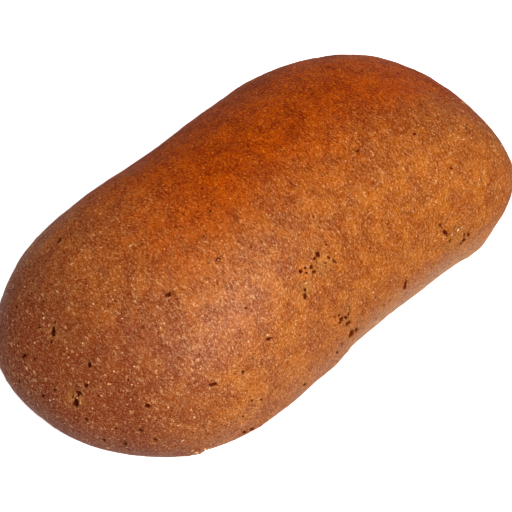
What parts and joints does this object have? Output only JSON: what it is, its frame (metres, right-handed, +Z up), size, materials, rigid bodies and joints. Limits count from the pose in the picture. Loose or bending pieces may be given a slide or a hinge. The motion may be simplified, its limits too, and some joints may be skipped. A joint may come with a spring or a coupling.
{
  "type": "tin loaf",
  "caption": "Whole uncut loaf of brown bread with a smooth domed crust, slightly waisted sides and a flat underside to rest on.",
  "frame": {"origin": "middle of the loaf's box, on the flat underside", "axes": "+X along the loaf, +Y across it, +Z up through the crown"},
  "size_m": [0.25, 0.13, 0.093],
  "materials": {
    "crust": "satin baked bread crust, brown, finely pebbled with a few open pores"
  },
  "bodies": {
    "root": {"loaf": "crust"}
  },
  "joints": []
}
